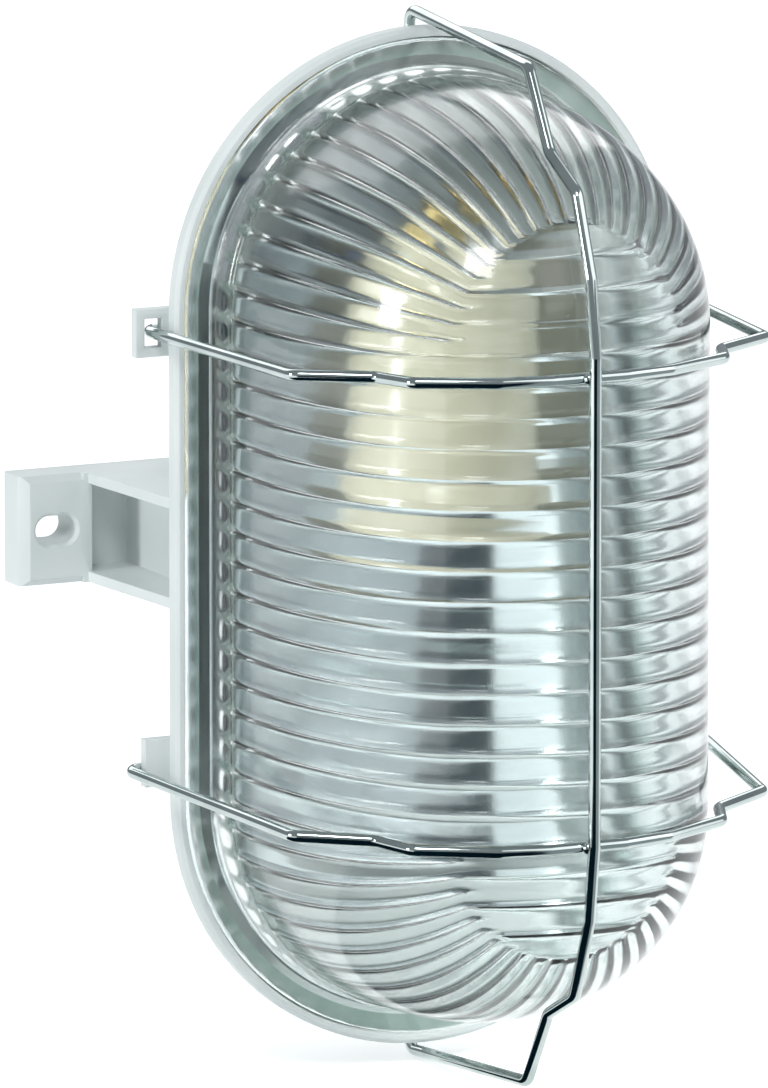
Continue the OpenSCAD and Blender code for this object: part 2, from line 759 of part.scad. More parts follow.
// Pressed glass: flange, collar and smooth dome outside; inside, radial ribs on the ends
// and cross ribs over the front
module glass_cover() {
    dome_shares = [0.5, 0, -0.5];
    rib_shares = [0.9, 0.5, 0, -0.5, -0.9];
    coarse = rib_count;
    fine = rib_count * rib_steps;
    foot = concat(
        oval_ring(inner_r, flange_back, 1), oval_ring(flange_r, flange_back, 1),
        oval_ring(flange_r, base_depth, 1), oval_ring(collar_r, base_depth, 1),
        oval_ring(collar_r, foot_z - collar_step, 1));
    dome = [for (i = [0 : dome_rows])
        let (p = dome_at(field_angle(glass_r) * i / dome_rows, glass_r, dome_h))
        oval_ring(p[0], foot_z + p[1], 1)];
    front = [for (m = [1 : coarse / 2 - 1])
        each field_line(m, 1, dome_shares, glass_r, dome_h, false, dome[dome_rows])];
    low_ribs = [for (i = [0 : fine - 1])
        oval_point(inner_r - lobe(i / rib_steps), i / rib_steps, rib_start + rib_round)];
    ribs = concat([oval_ring(inner_r, rib_start, rib_steps), low_ribs],
        [for (i = [0 : rib_rows]) ribbed_ring(field_angle(inner_r) * i / rib_rows)]);
    rib_front = [for (m = [1 : fine / 2 - 1])
        each field_line(m, rib_steps, rib_shares, inner_r, inner_h, true, ribs[len(ribs) - 1])];
    dome_start = 5 * coarse;
    front_at = dome_start + coarse * len(dome);
    ribs_at = front_at + len(front);
    rib_front_at = ribs_at + fine * len(ribs);
    points = concat(foot, [for (r = dome) each r], front, [for (r = ribs) each r], rib_front);
    outside = concat(
        [for (i = [0 : 4 + dome_rows]) each band(i * coarse, (i + 1) * coarse, coarse)],
        field_faces(dome_start + dome_rows * coarse, front_at, 1, len(dome_shares)));
    inside = concat(
        fan_band(0, ribs_at, coarse),
        [for (i = [0 : len(ribs) - 2]) each band(ribs_at + i * fine, ribs_at + (i + 1) * fine, fine)],
        field_faces(ribs_at + (len(ribs) - 1) * fine, rib_front_at, rib_steps, len(rib_shares)));
    color(clear_glass) front_view() polyhedron(points, concat(outside, flipped(inside)));
}

// Upright wire: hooked behind the lip at the top and bottom
module guard_wire_vertical() {
    half = [[long_hook_y - hook_len, long_hook_z], [long_hook_y, long_hook_z],
        [half_straight + lip_r - long_corner_in, base_depth + corner_out - long_corner_back],
        [half_straight + glass_r - joggle_in, base_depth + joggle_out],
        [half_straight + glass_r - long_step_in, base_depth + long_step_out],
        [half_straight + long_bow_y, base_depth + long_crown - long_bow],
        [half_straight, base_depth + long_crown]];
    color(chrome) front_view() rotate([90, 0, 90]) bent_wire(both_sides(half), wire_r, wire_bend);
}

// Cross wire with its hooks at a distance from the middle
module cross_wire(hook_x, lean) {
    lip_up = base_depth - cross_hook_z;
    half = [[hook_x - hook_len, 0], [hook_x, 0],
        [lip_r - cross_corner_in, lip_up + corner_out], [glass_r - joggle_in, lip_up + joggle_out],
        [glass_r - cross_step_in, lip_up + cross_step_out], [cross_bow_x, lip_up + cross_crown - cross_bow],
        [cross_flat_x, lip_up + cross_crown]];
    translate([0, 0, cross_hook_z]) rotate([lean, 0, 0])
        rotate([90, 0, 0]) bent_wire(both_sides(half), wire_r, wire_bend);
}

module guard_wire_upper() {
    color(chrome) front_view() translate([0, upper_hook_y, 0]) cross_wire(upper_hook_x, upper_drop);
}

module guard_wire_lower() {
    color(chrome) front_view() translate([0, -lower_hook_y, 0]) cross_wire(lower_hook_x, lower_drop);
}

base_housing();
base_gasket();
cable_grommet();
reflector();
reflector_screws();
lampholder_bracket();
bracket_screws();
lampholder_skirt();
lampholder_cap();
lampholder_insert();
screw_shell();
centre_contact();
holder_terminal_screws();
holder_nipple();
nipple_nut();
terminal_block();
terminal_sleeves();
terminal_screws();
terminal_block_screw();
line_wire();
neutral_wire();
glass_cover();
guard_wire_vertical();
guard_wire_upper();
guard_wire_lower();
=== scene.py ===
import json
from math import acos, atan2, ceil, cos, degrees, floor, hypot, pi, radians, sin, tan

import bpy
import numpy as np
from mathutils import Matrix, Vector


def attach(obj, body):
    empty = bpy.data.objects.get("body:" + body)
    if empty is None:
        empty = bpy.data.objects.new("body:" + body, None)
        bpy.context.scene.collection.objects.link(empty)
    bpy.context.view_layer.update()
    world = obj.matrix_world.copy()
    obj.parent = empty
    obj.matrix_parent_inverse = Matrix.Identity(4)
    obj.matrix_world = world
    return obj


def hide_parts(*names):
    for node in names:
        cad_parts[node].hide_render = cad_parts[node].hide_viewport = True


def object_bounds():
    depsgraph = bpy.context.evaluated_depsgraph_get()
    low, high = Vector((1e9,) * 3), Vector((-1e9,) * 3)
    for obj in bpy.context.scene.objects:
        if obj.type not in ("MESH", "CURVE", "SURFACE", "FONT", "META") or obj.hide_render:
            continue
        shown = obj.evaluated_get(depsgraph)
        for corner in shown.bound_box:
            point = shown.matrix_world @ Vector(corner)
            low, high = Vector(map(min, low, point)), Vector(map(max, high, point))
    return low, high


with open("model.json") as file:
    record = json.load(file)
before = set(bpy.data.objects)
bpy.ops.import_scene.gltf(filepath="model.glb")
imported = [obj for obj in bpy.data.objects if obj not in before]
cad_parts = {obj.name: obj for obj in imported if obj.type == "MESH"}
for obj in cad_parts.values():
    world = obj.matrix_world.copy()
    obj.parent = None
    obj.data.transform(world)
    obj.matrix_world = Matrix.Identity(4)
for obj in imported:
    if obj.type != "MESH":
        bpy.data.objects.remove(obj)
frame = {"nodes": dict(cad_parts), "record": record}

cad_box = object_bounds()
scene = bpy.context.scene
scene.view_settings.view_transform = "Standard"

MM = 0.001

# Sizes repeated from the part, in millimetres; heights are measured out from the wall
HALF_STRAIGHT = 50
BASE_DEPTH = 50
LIP_R = 56.5
LEDGE_Z = 43.5
FLANGE_R = 54
FLANGE_T = 3
COLLAR_R = 48.5
COLLAR_H = 7
GLASS_R = 47.3
GLASS_H = 75.6
GLASS_T = 3
RIB_H = 0.6
RIB_FLATNESS = 5
DOME_POWER = 2.4
FIELD_R = 25
END_RIBS = 24
SIDE_RIBS = 16
WIRE_R = 1.25
WIRE_BEND = 3
UPPER_HOOK_Y = 46.3
LOWER_HOOK_Y = 45
HOOK_GAP = 0.3
HOOK_LEN = 7.5
UPPER_DROP = 0.4
LOWER_DROP = 3.6
LUG_T = 1.6
UPPER_HOOK_X = 59.3
LOWER_HOOK_X = 63.75
CORNER_OUT = 49.5
END_HOOK_OUT = 2.8
COLLAR_STEP = 1

# The flange stands this far clear of the seal here, because two faces in one plane render black
SEAL_CLEARANCE = 0.12

# Camera: degrees round to the left and up, metres away, lens in millimetres, and how far its aim lies
# beside and below the middle of the lip, in millimetres
CAMERA_TURN = 25.09
CAMERA_RISE = 10.57
CAMERA_AWAY = 3.0
CAMERA_LENS = 481.6
AIM_LEFT = 8.68
AIM_BELOW = 1.2

# Floor, and the cards that lie on it just under the guard, in metres
FLOOR_SIZE = 24
FLOOR_DROP = 0.0005
FLOOR_GLOW = 0.35
WEDGE_R = 4
WEDGE_OUT = 0.14
DARK_CARD_SIZE = 0.25
DARK_CARD_PLACE = (-0.13, -0.175)
DARK_CARD_DROP = 0.0002

# Softboxes: name, place and size in metres, and watts
LAMP_AIM = Vector((0, -0.06, 0))
SOFTBOXES = [
    ("key_softbox", (-0.9, -1.3, 1.5), (0.6, 0.5), 13),
    ("side_softbox", (1.5, -0.6, 0.7), (0.8, 1.4), 4),
    ("left_softbox", (-1.7, -0.2, 0.4), (0.35, 0.5), 11.5),
    ("back_softbox", (0.3, 1.4, 1.2), (2.4, 1.4), 16),
    ("front_softbox", (1.2, -1.9, 1.2), (2.4, 1.8), 19),
]

# Sizes worked out from those above
RIBS = 2 * (END_RIBS + SIDE_RIBS)
RIB_PITCH = 2 * HALF_STRAIGHT / SIDE_RIBS
FLANGE_BACK = BASE_DEPTH - FLANGE_T + SEAL_CLEARANCE
FOOT_Z = BASE_DEPTH + COLLAR_H + COLLAR_STEP
DOME_H = BASE_DEPTH + GLASS_H - FOOT_Z
INNER_R = GLASS_R - GLASS_T
INNER_H = DOME_H - GLASS_T
CROSS_CROWN = GLASS_H + HOOK_GAP + WIRE_R
LONG_CROWN = CROSS_CROWN + 2 * WIRE_R
CROSS_HOOK_Z = LEDGE_Z - LUG_T - HOOK_GAP - WIRE_R
LONG_HOOK_Z = LEDGE_Z - HOOK_GAP - WIRE_R
LONG_HOOK_Y = HALF_STRAIGHT + LIP_R + END_HOOK_OUT


# Camera

def place_camera():
    """Long lens at the photograph's angle: 25 degrees round to the left, 10.6 degrees up."""
    azimuth, elevation = radians(CAMERA_TURN), radians(CAMERA_RISE)
    out = Vector((-sin(azimuth) * cos(elevation), -cos(azimuth) * cos(elevation), sin(elevation)))
    right = Vector((cos(azimuth), -sin(azimuth), 0))
    up = right.cross(-out)
    target = Vector((0, -BASE_DEPTH * MM, 0)) - AIM_LEFT * MM * right - AIM_BELOW * MM * up
    lens = bpy.data.cameras.new("photo_camera")
    lens.sensor_width = 36
    lens.lens = CAMERA_LENS
    lens.clip_end = 50
    camera = bpy.data.objects.new("photo_camera", lens)
    camera.location = target + CAMERA_AWAY * out
    camera.rotation_euler = (-out).to_track_quat("-Z", "Y").to_euler()
    scene.collection.objects.link(camera)
    scene.camera = camera


# Stage and light

def plain_floor():
    """Large pale floor just under the guard; it looks white to the camera and keeps a soft shadow."""
    bpy.ops.object.select_all(action="DESELECT")
    bpy.ops.mesh.primitive_plane_add(size=FLOOR_SIZE, location=(0, 0, cad_box[0][2] - FLOOR_DROP))
    floor_plane = bpy.context.object
    bpy.ops.object.transform_apply(location=True)
    floor_plane.name = "floor"
    floor_plane.data.materials.append(pale_floor_paint())


def floor_card(name, piece, paint):
    """Matt card lying on the floor that only bright metal and glass see."""
    use_only(piece)
    bpy.ops.object.transform_apply(location=True, rotation=True)
    piece.name = name
    piece.data.materials.append(paint)
    piece.visible_camera = False
    piece.visible_diffuse = False
    piece.visible_shadow = False


def wedge_card(name, turn, paint):
    """Three-sided card with its point just in front of the light, turned so many degrees to the left."""
    axis = Vector((-sin(radians(turn)), -cos(radians(turn)), 0))
    bpy.ops.object.select_all(action="DESELECT")
    bpy.ops.mesh.primitive_circle_add(vertices=3, radius=WEDGE_R, fill_type="NGON",
                                      rotation=(0, 0, -radians(turn)),
                                      location=Vector((0, -WEDGE_OUT, cad_box[0][2])) + WEDGE_R * axis)
    floor_card(name, bpy.context.object, paint)


def floor_cards():
    """Cards that give the reflector's folds dark, grey and white bands, and the wires a dark underside."""
    navy = matt_card("navy_velvet_card", "#071a24", "#0a1f2a")
    wedge_card("dark_wedge", 25, navy)
    wedge_card("grey_wedge", -35, matt_card("grey_velvet_card", "#a3abae", "#abb3b5"))
    bpy.ops.object.select_all(action="DESELECT")
    bpy.ops.mesh.primitive_plane_add(size=DARK_CARD_SIZE,
                                     location=DARK_CARD_PLACE + (cad_box[0][2] - DARK_CARD_DROP,))
    below = bpy.context.object
    below.visible_transmission = False
    floor_card("dark_card", below, navy)


def soft_lamp(name, place, size, watts):
    """Rectangular softbox aimed at the middle of the light."""
    lamp = bpy.data.lights.new(name, "AREA")
    lamp.shape = "RECTANGLE"
    lamp.size, lamp.size_y = size
    lamp.energy = watts
    softbox = bpy.data.objects.new(name, lamp)
    softbox.location = place
    softbox.rotation_euler = (LAMP_AIM - Vector(place)).to_track_quat("-Z", "Y").to_euler()
    scene.collection.objects.link(softbox)


def studio_light():
    """Dim grey surround with softboxes above, on both sides, behind and in front."""
    world = bpy.data.worlds.new("dim_surround")
    scene.world = world
    world.use_nodes = True
    surround = world.node_tree.nodes["Background"]
    surround.inputs["Color"].default_value = colour("#c3cbd2")
    surround.inputs["Strength"].default_value = 0.5
    for name, place, size, watts in SOFTBOXES:
        soft_lamp(name, place, size, watts)


# Materials

def colour(code):
    """sRGB hex value as linear red, green, blue and alpha."""
    channels = [int(code[i:i + 2], 16) / 255 for i in (1, 3, 5)]
    return tuple(c / 12.92 if c <= 0.04045 else ((c + 0.055) / 1.055) ** 2.4 for c in channels) + (1.0,)


def add_node(material, kind, values=None, links=None, **settings):
    """Adds one node: settings on the node, values on its sockets, links from other nodes' sockets."""
    tree = material.node_tree
    node = tree.nodes.new(kind)
    for key, value in settings.items():
        setattr(node, key, value)
    for key, value in (values or {}).items():
        node.inputs[key].default_value = value
    for key, (source, socket) in (links or {}).items():
        tree.links.new(source.outputs[socket], node.inputs[key])
    return node


def new_material(name):
    """Empty material with its shader, output and Object coordinates."""
    material = bpy.data.materials.new(name)
    material.use_nodes = True
    shader = material.node_tree.nodes["Principled BSDF"]
    place = add_node(material, "ShaderNodeTexCoord")
    return material, shader, place


def connect(material, source, socket, target, target_socket):
    """Links one node's output to another node's input."""
    material.node_tree.links.new(source.outputs[socket], target.inputs[target_socket])


def blotches(material, place, size_mm, low, high):
    """Soft patches of two colours, size_mm across."""
    patch = add_node(material, "ShaderNodeTexNoise", {"Scale": 1 / (size_mm * MM), "Detail": 1},
                     {"Vector": (place, "Object")})
    ramp = add_node(material, "ShaderNodeValToRGB", links={"Fac": (patch, "Fac")})
    ramp.color_ramp.elements[0].position = 0.35
    ramp.color_ramp.elements[1].position = 0.65
    ramp.color_ramp.elements[0].color = colour(low)
    ramp.color_ramp.elements[1].color = colour(high)
    return ramp


def pale_floor_paint():
    """Matt white paper sweep. The camera, mirrors and glass see it near white; it still takes a shadow."""
    material, shader, place = new_material("white_paper_sweep")
    tint = blotches(material, place, 400, "#f4f5f5", "#f8f9f9")
    connect(material, tint, "Color", shader, "Base Color")
    shader.inputs["Roughness"].default_value = 0.9
    path = add_node(material, "ShaderNodeLightPath")
    seen = add_node(material, "ShaderNodeMath", operation="MAXIMUM",
                    links={0: (path, "Is Camera Ray"), 1: (path, "Is Glossy Ray")})
    seen = add_node(material, "ShaderNodeMath", operation="MAXIMUM",
                    links={0: (seen, 0), 1: (path, "Is Transmission Ray")})
    glow = add_node(material, "ShaderNodeMath", {1: FLOOR_GLOW}, {0: (seen, 0)}, operation="MULTIPLY")
    shader.inputs["Emission Color"].default_value = colour("#ffffff")
    connect(material, glow, 0, shader, "Emission Strength")
    return material


def matt_card(name, low, high):
    """Velvet-faced card with no shine."""
    material, shader, place = new_material(name)
    tint = blotches(material, place, 30, low, high)
    connect(material, tint, "Color", shader, "Base Color")
    shader.inputs["Roughness"].default_value = 1.0
    shader.inputs["Specular IOR Level"].default_value = 0.0
    return material


def moulded_grey_plastic():
    """Injection-moulded grey polypropylene: satin, a fine spark-eroded grain and faint flow clouds."""
    material, shader, place = new_material("moulded_grey_polypropylene")
    tint = blotches(material, place, 18, "#d3dad9", "#dae0df")
    connect(material, tint, "Color", shader, "Base Color")
    grain = add_node(material, "ShaderNodeTexNoise", {"Scale": 1 / (0.45 * MM), "Detail": 2},
                     {"Vector": (place, "Object")})
    gloss = add_node(material, "ShaderNodeMapRange", {"To Min": 0.42, "To Max": 0.55},
                     {"Value": (grain, "Fac")})
    connect(material, gloss, "Result", shader, "Roughness")
    bump = add_node(material, "ShaderNodeBump", {"Strength": 0.12, "Distance": 0.05 * MM},
                    {"Height": (grain, "Fac")})
    connect(material, bump, "Normal", shader, "Normal")
    shader.inputs["IOR"].default_value = 1.49
    return material


def pressed_glass():
    """Pressed soda glass: faint green cast, a little soft to look through, wavy from the mould."""
    material, shader, place = new_material("pressed_soda_glass")
    shader.inputs["Base Color"].default_value = colour("#f6fcfb")
    shader.inputs["Transmission Weight"].default_value = 1.0
    shader.inputs["IOR"].default_value = 1.5
    shader.inputs["Roughness"].default_value = 0.11
    wave = add_node(material, "ShaderNodeTexNoise", {"Scale": 1 / (7 * MM), "Detail": 0},
                    {"Vector": (place, "Object")})
    bump = add_node(material, "ShaderNodeBump", {"Strength": 0.25, "Distance": 0.15 * MM},
                    {"Height": (wave, "Fac")})
    connect(material, bump, "Normal", shader, "Normal")
    return material


def plated_metal(name, low, high, smooth, rough, grain_mm, bump_strength):
    """Bare or plated metal: two close tones in patches, with fine marks that catch the light."""
    material, shader, place = new_material(name)
    tint = blotches(material, place, 9, low, high)
    connect(material, tint, "Color", shader, "Base Color")
    shader.inputs["Metallic"].default_value = 1.0
    marks = add_node(material, "ShaderNodeTexNoise", {"Scale": 1 / (grain_mm * MM), "Detail": 4},
                     {"Vector": (place, "Object")})
    gloss = add_node(material, "ShaderNodeMapRange", {"To Min": smooth, "To Max": rough},
                     {"Value": (marks, "Fac")})
    connect(material, gloss, "Result", shader, "Roughness")
    bump = add_node(material, "ShaderNodeBump", {"Strength": bump_strength, "Distance": 0.02 * MM},
                    {"Height": (marks, "Fac")})
    connect(material, bump, "Normal", shader, "Normal")
    return material


def rolled_reflector_aluminium():
    """Bright rolled aluminium: mirror-like, with fine upright rolling lines, drawn 0.6 mm apart to show."""
    material, shader, place = new_material("rolled_bright_aluminium")
    shader.inputs["Metallic"].default_value = 1.0
    tint = blotches(material, place, 25, "#e8ecee", "#f1f4f5")
    connect(material, tint, "Color", shader, "Base Color")
    along = add_node(material, "ShaderNodeMapping", {"Scale": (1, 1, 0.02)}, {"Vector": (place, "Object")})
    lines = add_node(material, "ShaderNodeTexNoise", {"Scale": 1 / (0.6 * MM), "Detail": 2},
                     {"Vector": (along, "Vector")})
    gloss = add_node(material, "ShaderNodeMapRange", {"To Min": 0.05, "To Max": 0.11},
                     {"Value": (lines, "Fac")})
    connect(material, gloss, "Result", shader, "Roughness")
    bump = add_node(material, "ShaderNodeBump", {"Strength": 0.03, "Distance": 0.02 * MM},
                    {"Height": (lines, "Fac")})
    connect(material, bump, "Normal", shader, "Normal")
    return material


def moulded_gloss(name, low, high, rough, patch_mm, coat=0.0):
    """Glossy moulding or glazed ceramic: close tones, slight ripple, hard highlight."""
    material, shader, place = new_material(name)
    tint = blotches(material, place, patch_mm, low, high)
    connect(material, tint, "Color", shader, "Base Color")
    ripple = add_node(material, "ShaderNodeTexNoise", {"Scale": 1 / (3 * MM), "Detail": 2},
                      {"Vector": (place, "Object")})
    gloss = add_node(material, "ShaderNodeMapRange", {"To Min": rough, "To Max": rough + 0.1},
                     {"Value": (ripple, "Fac")})
    connect(material, gloss, "Result", shader, "Roughness")
    bump = add_node(material, "ShaderNodeBump", {"Strength": 0.08, "Distance": 0.05 * MM},
                    {"Height": (ripple, "Fac")})
    connect(material, bump, "Normal", shader, "Normal")
    shader.inputs["Coat Weight"].default_value = coat
    shader.inputs["Coat Roughness"].default_value = 0.05
    return material


def soft_rubber(name, low, high, pore_mm):
    """Matt rubber or closed-cell foam with small pores."""
    material, shader, place = new_material(name)
    tint = blotches(material, place, 4, low, high)
    connect(material, tint, "Color", shader, "Base Color")
    pores = add_node(material, "ShaderNodeTexVoronoi", {"Scale": 1 / (pore_mm * MM)},
                     {"Vector": (place, "Object")})
    bump = add_node(material, "ShaderNodeBump", {"Strength": 0.3, "Distance": 0.1 * MM},
                    {"Height": (pores, "Distance")})
    connect(material, bump, "Normal", shader, "Normal")
    shader.inputs["Roughness"].default_value = 0.75
    return material


def make_materials():
    """One material for each slot of the part's record."""
    return {
        "grey_plastic": moulded_grey_plastic(),
        "clear_glass": pressed_glass(),
        "chrome": plated_metal("bright_chromed_wire", "#b7c2c0", "#c6cfcd", 0.05, 0.12, 0.8, 0.05),
        "zinc_steel": plated_metal("zinc_plated_steel", "#a2a8ab", "#b9bec0", 0.3, 0.45, 0.5, 0.2),
        "brass": plated_metal("machined_brass", "#b5a06e", "#c8b483", 0.18, 0.3, 0.4, 0.12),
        "bright_aluminium": rolled_reflector_aluminium(),
        "cream_plastic": moulded_gloss("cream_urea_moulding", "#bab49d", "#c1bba5", 0.14, 22, 0.6),
        "ceramic": moulded_gloss("glazed_steatite", "#ebeae4", "#f3f2ee", 0.12, 12, 0.3),
        "white_plastic": moulded_gloss("white_nylon", "#e6e8e5", "#eff0ee", 0.35, 10),
        "brown_lead": moulded_gloss("brown_pvc_sleeve", "#5e3a22", "#6f472b", 0.4, 6),
        "blue_lead": moulded_gloss("blue_pvc_sleeve", "#4d5f80", "#5a6c8c", 0.4, 6),
        "black_rubber": soft_rubber("black_grommet_rubber", "#2b2d2e", "#37393a", 0.6),
        "seal": soft_rubber("grey_foam_seal", "#93a59f", "#9eafa9", 0.9),
    }


# Modelling helpers

def use_only(piece):
    """Selects one piece and nothing else."""
    bpy.ops.object.select_all(action="DESELECT")
    piece.select_set(True)
    bpy.context.view_layer.objects.active = piece


def apply_modifier(piece, kind, **settings):
    """Adds a modifier with its settings and applies it."""
    use_only(piece)
    modifier = piece.modifiers.new(kind.lower(), kind)
    for key, value in settings.items():
        setattr(modifier, key, value)
    bpy.ops.object.modifier_apply(modifier=modifier.name)


def merge_and_face_out(piece, gap=2e-6, recalculate=True):
    """Merges points closer than gap, in metres, and turns the faces outwards."""
    use_only(piece)
    bpy.ops.object.mode_set(mode="EDIT")
    bpy.ops.mesh.select_all(action="SELECT")
    bpy.ops.mesh.remove_doubles(threshold=gap)
    if recalculate:
        bpy.ops.mesh.normals_make_consistent(inside=False)
    bpy.ops.object.mode_set(mode="OBJECT")


def smooth_by_angle(piece, angle):
    """Shades smooth across edges flatter than angle, in degrees."""
    use_only(piece)
    bpy.ops.object.shade_smooth_by_angle(angle=radians(angle))


def settle(piece, body, slot, *nodes):
    """Gives a piece its finish, its body and the CAD nodes it stands for."""
    piece.data.materials.clear()
    piece.data.materials.append(materials[slot])
    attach(piece, body)
    if nodes:
        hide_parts(*nodes)


def points_of(piece):
    """Points of a piece's mesh, in metres, one row each."""
    points = np.empty(len(piece.data.vertices) * 3, dtype=np.float32)
    piece.data.vertices.foreach_get("co", points)
    return points.reshape(-1, 3)


def move_points(piece, points):
    """Puts a piece's points at new places."""
    piece.data.vertices.foreach_set("co", points.reshape(-1))
    piece.data.update()


def loose_copy(node, name):
    """Copy of a CAD node, with its split points merged, to be shaped further."""
    piece = frame["nodes"][node].copy()
    piece.data = piece.data.copy()
    piece.parent = None
    piece.matrix_world = frame["nodes"][node].matrix_world.copy()
    piece.name = name
    piece.data.name = name
    scene.collection.objects.link(piece)
    merge_and_face_out(piece, 1e-6, recalculate=False)
    return piece


def softened_copy(node, name, radius_mm):
    """Copy of a CAD node with its sharp edges rounded, as a moulding or a pressing has them."""
    piece = loose_copy(node, name)
    bpy.ops.object.mode_set(mode="EDIT")
    bpy.ops.mesh.select_all(action="SELECT")
    bpy.ops.mesh.dissolve_limited(angle_limit=radians(0.5))
    bpy.ops.object.mode_set(mode="OBJECT")
    apply_modifier(piece, "BEVEL", width=radius_mm * MM, segments=3, limit_method="ANGLE",
                   angle_limit=radians(30), harden_normals=False, miter_outer="MITER_ARC")
    smooth_by_angle(piece, 40)
    return piece


def shaped_grid(name, columns, rows, shape):
    """Grid primitive whose points are moved by shape(across, up), both from 0 to 1."""
    bpy.ops.object.select_all(action="DESELECT")
    bpy.ops.mesh.primitive_grid_add(x_subdivisions=columns, y_subdivisions=rows, size=1)
    piece = bpy.context.object
    piece.name = name
    places = [shape(round((p[0] + 0.5) * columns) / columns, round((p[1] + 0.5) * rows) / rows)
              for p in points_of(piece)]
    move_points(piece, np.array([(x * MM, -z * MM, y * MM) for x, y, z in places], dtype=np.float32))
    return piece


def joined(name, pieces):
    """Joins pieces into the first one, under a new name."""
    bpy.ops.object.select_all(action="DESELECT")
    for piece in pieces:
        piece.select_set(True)
    bpy.context.view_layer.objects.active = pieces[0]
    bpy.ops.object.join()
    pieces[0].name = name
    pieces[0].data.name = name
    return pieces[0]


# Reeded glass: points across each rib, columns round the oval, and the rib at the middle of the top

STEPS = 8
COLUMNS = RIBS * STEPS
TOP = END_RIBS // 2
FIELD_ANGLE = acos((FIELD_R / GLASS_R) ** (DOME_POWER / 2))
INNER_ANGLE = acos((FIELD_R / INNER_R) ** (DOME_POWER / 2))


def oval_point(r, k):
    """Point on an oval of radius r, counted in ribs from the right-hand end of the top arc."""
    k = k % RIBS
    if k < END_RIBS:
        return r * cos(pi * k / END_RIBS), HALF_STRAIGHT + r * sin(pi * k / END_RIBS)
    if k < END_RIBS + SIDE_RIBS:
        return -r, HALF_STRAIGHT - (k - END_RIBS) * RIB_PITCH
    if k < RIBS - SIDE_RIBS:
        a = pi * (k - SIDE_RIBS) / END_RIBS
        return r * cos(a), -HALF_STRAIGHT + r * sin(a)
    return r, -HALF_STRAIGHT + (k - RIBS + SIDE_RIBS) * RIB_PITCH


def dome_at(a, r, h):
    """Dome profile at an angle up from its foot: radius, and height above the foot."""
    return r * max(cos(a), 0) ** (2 / DOME_POWER), h * max(sin(a), 0) ** (2 / DOME_POWER)


def dome_height(u, r, h):
    """Height of the dome above its foot, at a distance u from the middle line."""
    return h * max(1 - (u / r) ** DOME_POWER, 0) ** (1 / DOME_POWER)


def field_point(across, up, ring, height):
    """Point of the front field: each line joins two columns of a ring, and height gives how far out it lies,
    from the distance to the middle line and the place up the light."""
    m = up * RIBS / 2
    right, left = ring(TOP - m), ring(TOP + m)
    if across == 0 or m == 0 or m == RIBS / 2:
        return right
    if across == 1:
        return left
    y = (right[1] + left[1]) / 2
    x = right[0] * (1 - 2 * across)
    return x, y, height(hypot(x, max(0, abs(y) - HALF_STRAIGHT)), y)


FLANGE_CHAMFER = 0.5
FLANGE_ROUND = 0.6
COLLAR_ROUND = 0.8
DOME_LEDGE = 0.2
COLLAR_TOP = FOOT_Z - COLLAR_STEP

# Outside of the foot as radius and height, from under the flange up to the smooth dome
FOOT = [
    (INNER_R, FLANGE_BACK),
    (FLANGE_R - FLANGE_CHAMFER, FLANGE_BACK),
    (FLANGE_R, FLANGE_BACK + FLANGE_CHAMFER),
    (FLANGE_R, BASE_DEPTH - FLANGE_ROUND),
    (FLANGE_R - FLANGE_ROUND, BASE_DEPTH),
    (COLLAR_R + COLLAR_ROUND, BASE_DEPTH),
    (COLLAR_R, BASE_DEPTH + COLLAR_ROUND),
    (COLLAR_R, COLLAR_TOP - COLLAR_ROUND),
    (COLLAR_R - COLLAR_ROUND, COLLAR_TOP),
    (GLASS_R + DOME_LEDGE, COLLAR_TOP + DOME_LEDGE),
]

# Rows of points up the wall, and points across the front
WALL_ROWS = 28
FIELD_WIDTH = 22


def dome_ring(k):
    """Point of the ring where the outside passes from the wall to the front field."""
    r, h = dome_at(FIELD_ANGLE, GLASS_R, DOME_H)
    return oval_point(r, k) + (FOOT_Z + h,)


def outer_wall(across, up):
    """Outside from under the flange, over the collar, to the front field."""
    row = round(up * (len(FOOT) + WALL_ROWS))
    if row < len(FOOT):
        return oval_point(FOOT[row][0], across * RIBS) + (FOOT[row][1],)
    r, h = dome_at(FIELD_ANGLE * (row - len(FOOT)) / WALL_ROWS, GLASS_R, DOME_H)
    return oval_point(r, across * RIBS) + (FOOT_Z + h,)


def outer_front(across, up):
    """Smooth outside of the front."""
    return field_point(across, up, dome_ring, lambda u, y: FOOT_Z + dome_height(u, GLASS_R, DOME_H))


# Rows of points below and on the ribbed dome, how far above the lip the ribs begin, and the length of
# their round ends
LOW_ROWS = 10
RIB_ROWS = 26
RIB_RISE = 1.5
RIB_START = BASE_DEPTH + RIB_RISE
SCALLOP = 2.6


def lobe(k):
    """Broad rib, nearly flat on top, with a sharp valley on each side."""
    across = 2 * (k - floor(k)) - 1
    return RIB_H * (1 - abs(across) ** RIB_FLATNESS)


def rib_profile(row):
    """Radius, height and lean of the inner wall, from where the ribs begin to the front field."""
    if row < LOW_ROWS:
        return INNER_R, RIB_START + (FOOT_Z - RIB_START) * row / LOW_ROWS, 0.0
    a = INNER_ANGLE * (row - LOW_ROWS) / RIB_ROWS
    r, h = dome_at(a, INNER_R, INNER_H)
    lean = atan2(sin(a) ** (2 - 2 / DOME_POWER) / INNER_H, cos(a) ** (2 - 2 / DOME_POWER) / INNER_R)
    return r, FOOT_Z + h, lean


def rib_point(k, row):
    """Point on the ribbed inside; each rib stands into the glass's hollow and begins with a round end."""
    r, z, lean = rib_profile(row)
    rib = lobe(k)
    climb = (z - RIB_START) / SCALLOP
    if climb < 1:
        rib = min(rib, RIB_H * max(rib / RIB_H - (1 - climb) ** 2, 0))
    return oval_point(r - rib * cos(lean), k) + (z - rib * sin(lean),)


